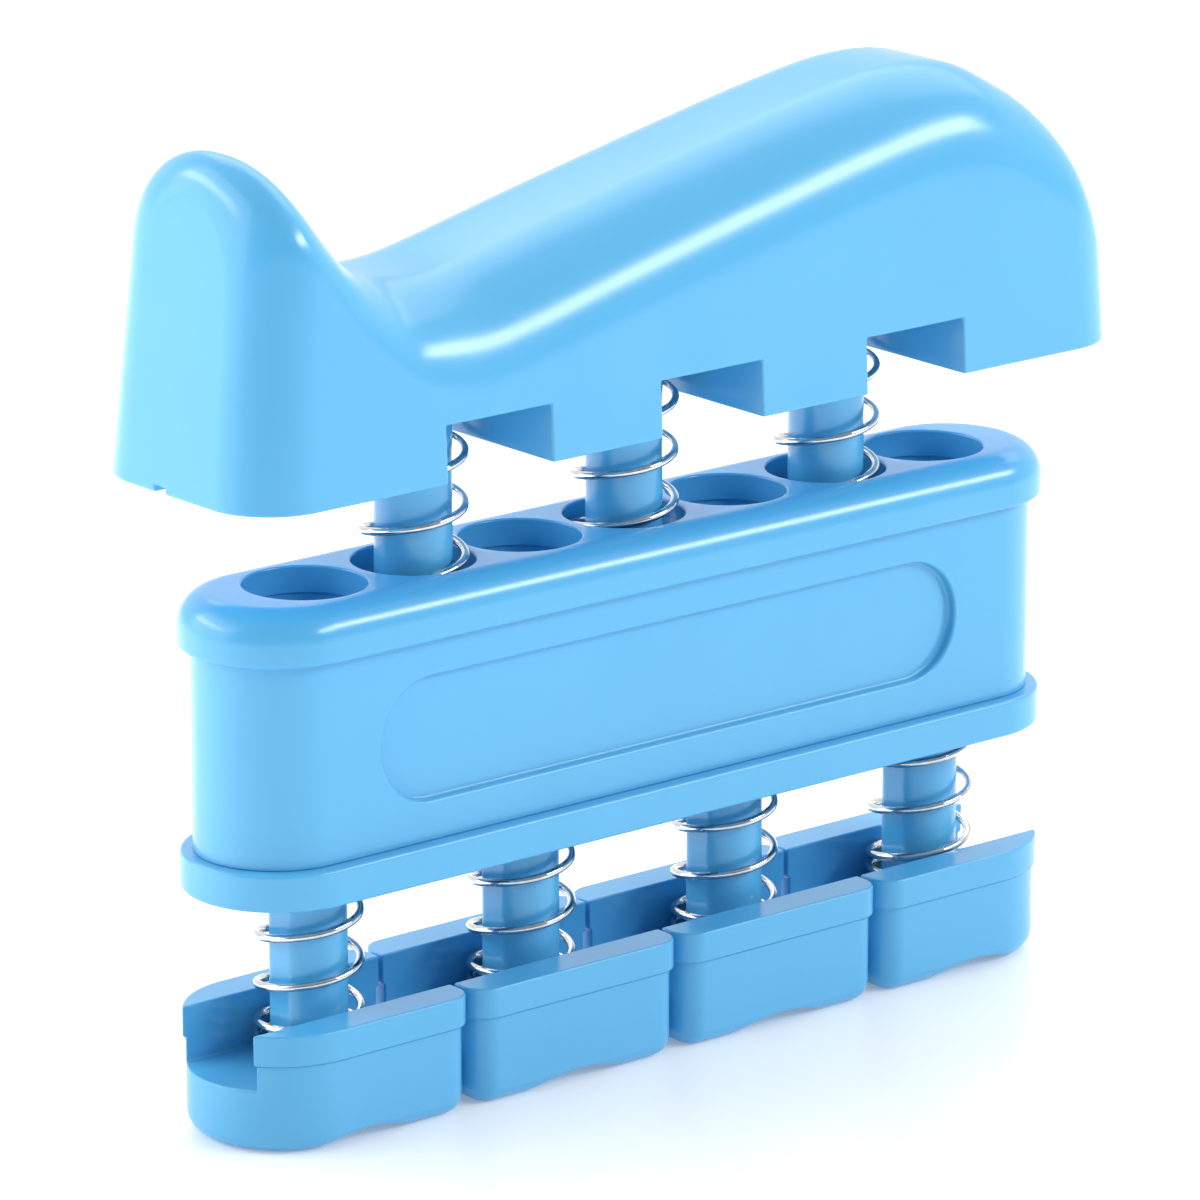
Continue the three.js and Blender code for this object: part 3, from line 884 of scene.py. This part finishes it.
def thread_profile():
    """(radius, distance along) pairs from the screw's tip to the underside of its head."""
    profile = [(SCREW["tip"], SCREW["length"])]
    for i in range(int(SCREW["length"] / SCREW["pitch"])):
        top = SCREW["length"] - SCREW["tip_length"] - i * SCREW["pitch"]
        for radius, drop in ((SCREW["core"], 0), (SCREW["shank"], 1), (SCREW["core"], 2)):
            profile.append((radius, top - drop * SCREW["flank"]))
    return profile + [(SCREW["shank"], 0)]


def head_profile():
    """(radius, distance along) pairs round the pan head and into its slot."""
    rim, mouth, height = SCREW["rim"], SCREW["slot_mouth"], SCREW["height"]
    profile = [(SCREW["head"], 0), (SCREW["head"], -rim)]
    for angle in quarter_angles(HEAD_STEPS)[1:-1]:
        radius = mouth + (SCREW["head"] - mouth) * math.cos(angle)
        profile.append((radius, -rim - (height - rim) * math.sin(angle)))
    return profile + [(mouth, -height), (SCREW["slot_floor"], -height + SCREW["slot"])]


def make_screw(name, body, direction):
    """Pan head screw; direction +1 has its shank above the head."""
    low, high = box_mm(name)
    x = (low.x + high.x) / 2
    seat = low.z + SCREW["height"] if direction > 0 else high.z - SCREW["height"]
    bm = bmesh.new()
    rings = []
    for radius, along in thread_profile() + head_profile():
        rings.append(circle(x, seat + direction * along, radius, steps=SCREW_STEPS))
    tip, recess = loft(bm, rings)
    bm.faces.new(tip)
    bm.faces.new(recess)
    piece(f"{name}_pan_head", bm, body, name, ZINC)


def make_palm_slide(i):
    """One post of the palm rest with its spring, washer and screw."""
    n, x = PALMS[i], PALM_X[i]
    low, high = box_mm(f"palm_post_{n}")
    make_post(f"palm_post_{n}", "palm", low.z, high.z, x)
    z0, z1 = palm_coil_low.z + WIRE_RADIUS, palm_coil_high.z - WIRE_RADIUS
    start = PALM_COIL_STARTS[i]
    make_spring(f"palm_spring_{n}", x, z0, z1, start, PALM_COIL)
    make_washer(f"palm_washer_{n}", "palm")
    make_screw(f"palm_screw_{n}", "palm", 1)


def make_finger_slide(i):
    """One finger button with its post, spring, washer and screw."""
    n, x = FINGERS[i], FINGER_X[i]
    body, joint = f"finger_{n}", f"finger_press_{n}"
    make_finger_button(i)
    low, high = box_mm(f"finger_post_{n}")
    make_post(f"finger_post_{n}", body, low.z, high.z, x, flat=POST_FLAT)
    z0, z1 = finger_coil_low.z + WIRE_RADIUS, finger_coil_high.z - WIRE_RADIUS
    start = FINGER_COIL_STARTS[i]
    make_spring(f"finger_spring_{n}", x, z0, z1, start, FINGER_COIL)
    make_washer(f"finger_washer_{n}", body)
    make_screw(f"finger_screw_{n}", body, -1)


def make_object():
    make_palm_rest()
    make_upper_cap()
    make_housing()
    make_lower_cap()
    for i in range(len(PALMS)):
        make_palm_slide(i)
    for i in range(len(FINGERS)):
        make_finger_slide(i)


# ---------- camera, floor and light, in metres ----------
CAMERA = {"place": (-0.3749, -0.4452, 0.2023), "tilt": 74.009, "heading": -39.918, "lens": 232.1}


def make_camera():
    data = bpy.data.cameras.new("camera")
    data.sensor_width = 36
    data.lens = CAMERA["lens"]
    camera = bpy.data.objects.new("camera", data)
    bpy.context.scene.collection.objects.link(camera)
    camera.location = CAMERA["place"]
    camera.rotation_euler = (math.radians(CAMERA["tilt"]), 0, math.radians(CAMERA["heading"]))
    data.clip_start, data.clip_end = 0.01, 50
    bpy.context.scene.camera = camera


def direction(azimuth, elevation):
    """Unit vector towards a point round the object; azimuth 0 is the front, 90 its right end."""
    a, e = math.radians(azimuth), math.radians(elevation)
    return Vector((math.sin(a) * math.cos(e), -math.cos(a) * math.cos(e), math.sin(e)))


FLOOR_SIZE = 4  # metres
FLOOR_GAP = 0.00002  # metres below the buttons
FLOOR_GLOW = {"near": 0.2, "far": 0.85, "starts": 0.05, "full": 0.10}
FLOOR_SIDE = {"azimuth": -130, "from": 0.3, "to": 0.9, "least": 0.3}  # the side that glows most


def make_floor():
    """Pale floor, glowing softly from a little way out, most on the left."""
    bm = bmesh.new()
    bmesh.ops.create_grid(bm, x_segments=8, y_segments=8, size=FLOOR_SIZE)
    mesh = bpy.data.meshes.new("floor")
    bm.to_mesh(mesh)
    bm.free()
    floor = bpy.data.objects.new("floor", mesh)
    bpy.context.scene.collection.objects.link(floor)
    floor.location.z = cad_low.z - FLOOR_GAP
    floor.data.materials.append(white_floor())


def white_floor():
    material, tree, shader = new_material("white_floor")
    shader.inputs["Base Color"].default_value = (0.9, 0.9, 0.9, 1)
    shader.inputs["Roughness"].default_value = 0.3
    coords = tree.nodes.new("ShaderNodeTexCoord")
    reach = vector_math(tree, "LENGTH", coords.outputs["Object"])
    heading = vector_math(tree, "NORMALIZE", coords.outputs["Object"])
    facing = vector_math(tree, "DOT_PRODUCT", heading, direction(FLOOR_SIDE["azimuth"], 0))
    spread = map_range(tree, reach, FLOOR_GLOW["starts"], FLOOR_GLOW["full"], 0, 1)
    kept = map_range(tree, facing, FLOOR_SIDE["from"], FLOOR_SIDE["to"], FLOOR_SIDE["least"], 1)
    share = tree.nodes.new("ShaderNodeMath")
    share.operation = "MULTIPLY"
    tree.links.new(spread, share.inputs[0])
    tree.links.new(kept, share.inputs[1])
    glow = map_range(tree, share.outputs["Value"], 0, 1, FLOOR_GLOW["near"], FLOOR_GLOW["far"])
    shader.inputs["Emission Color"].default_value = (1, 1, 1, 1)
    tree.links.new(glow, shader.inputs["Emission Strength"])
    return material


def vector_math(tree, operation, first, second=None):
    node = tree.nodes.new("ShaderNodeVectorMath")
    node.operation = operation
    tree.links.new(first, node.inputs[0])
    if second is not None:
        node.inputs[1].default_value = second
    return node.outputs["Vector" if operation == "NORMALIZE" else "Value"]


SOFTBOX_DISTANCE = 0.9
AIM = Vector((0, 0, 0.045))  # the point that the lights face


def softbox(name, azimuth, elevation, width, height, radiance):
    """A rectangular light facing the object: its angles across and up, and its brightness."""
    distance = SOFTBOX_DISTANCE
    data = bpy.data.lights.new(name, "AREA")
    data.shape = "RECTANGLE"
    data.size, data.size_y = (2 * distance * math.tan(math.radians(angle / 2)) for angle in (width, height))
    data.energy = radiance * math.pi * data.size * data.size_y
    light = bpy.data.objects.new(name, data)
    bpy.context.scene.collection.objects.link(light)
    light.location = AIM + direction(azimuth, elevation) * distance
    light.rotation_euler = (AIM - light.location).to_track_quat("-Z", "Y").to_euler()


ROOM = {"azimuth": 140, "elevation": 10, "from": -0.7, "to": 0.8, "dim": 0.32, "bright": 1.1}


def make_world():
    """White to the camera; round the object, dim on the camera's side and brighter behind."""
    world = bpy.data.worlds.new("studio")
    world.use_nodes = True
    tree = world.node_tree
    shine = tree.nodes["Background"]
    coords = tree.nodes.new("ShaderNodeTexCoord")
    toward = direction(ROOM["azimuth"], ROOM["elevation"])
    behind = vector_math(tree, "DOT_PRODUCT", coords.outputs["Generated"], toward)
    around = map_range(tree, behind, ROOM["from"], ROOM["to"], ROOM["dim"], ROOM["bright"])
    path = tree.nodes.new("ShaderNodeLightPath")
    strength = tree.nodes.new("ShaderNodeMix")
    strength.inputs["B"].default_value = 1.0
    tree.links.new(path.outputs["Is Camera Ray"], strength.inputs["Factor"])
    tree.links.new(around, strength.inputs["A"])
    tree.links.new(strength.outputs["Result"], shine.inputs["Strength"])
    shine.inputs["Color"].default_value = (1, 1, 1, 1)
    bpy.context.scene.world = world


# name, azimuth, elevation, degrees across, degrees up, brightness
SOFTBOXES = (
    ("right_strip", 36, 29.5, 38, 10, 13.5),
    ("left_strip", -132, 27, 44, 9, 4.6),
    ("left_wall", -125, 24, 60, 46, 1.6),
    ("overhead", 125, 50, 62, 36, 1.35),
)


def make_light():
    for box in SOFTBOXES:
        softbox(*box)
    make_world()
    bpy.context.scene.view_settings.view_transform = "Standard"


make_camera()
make_object()
make_floor()
make_light()
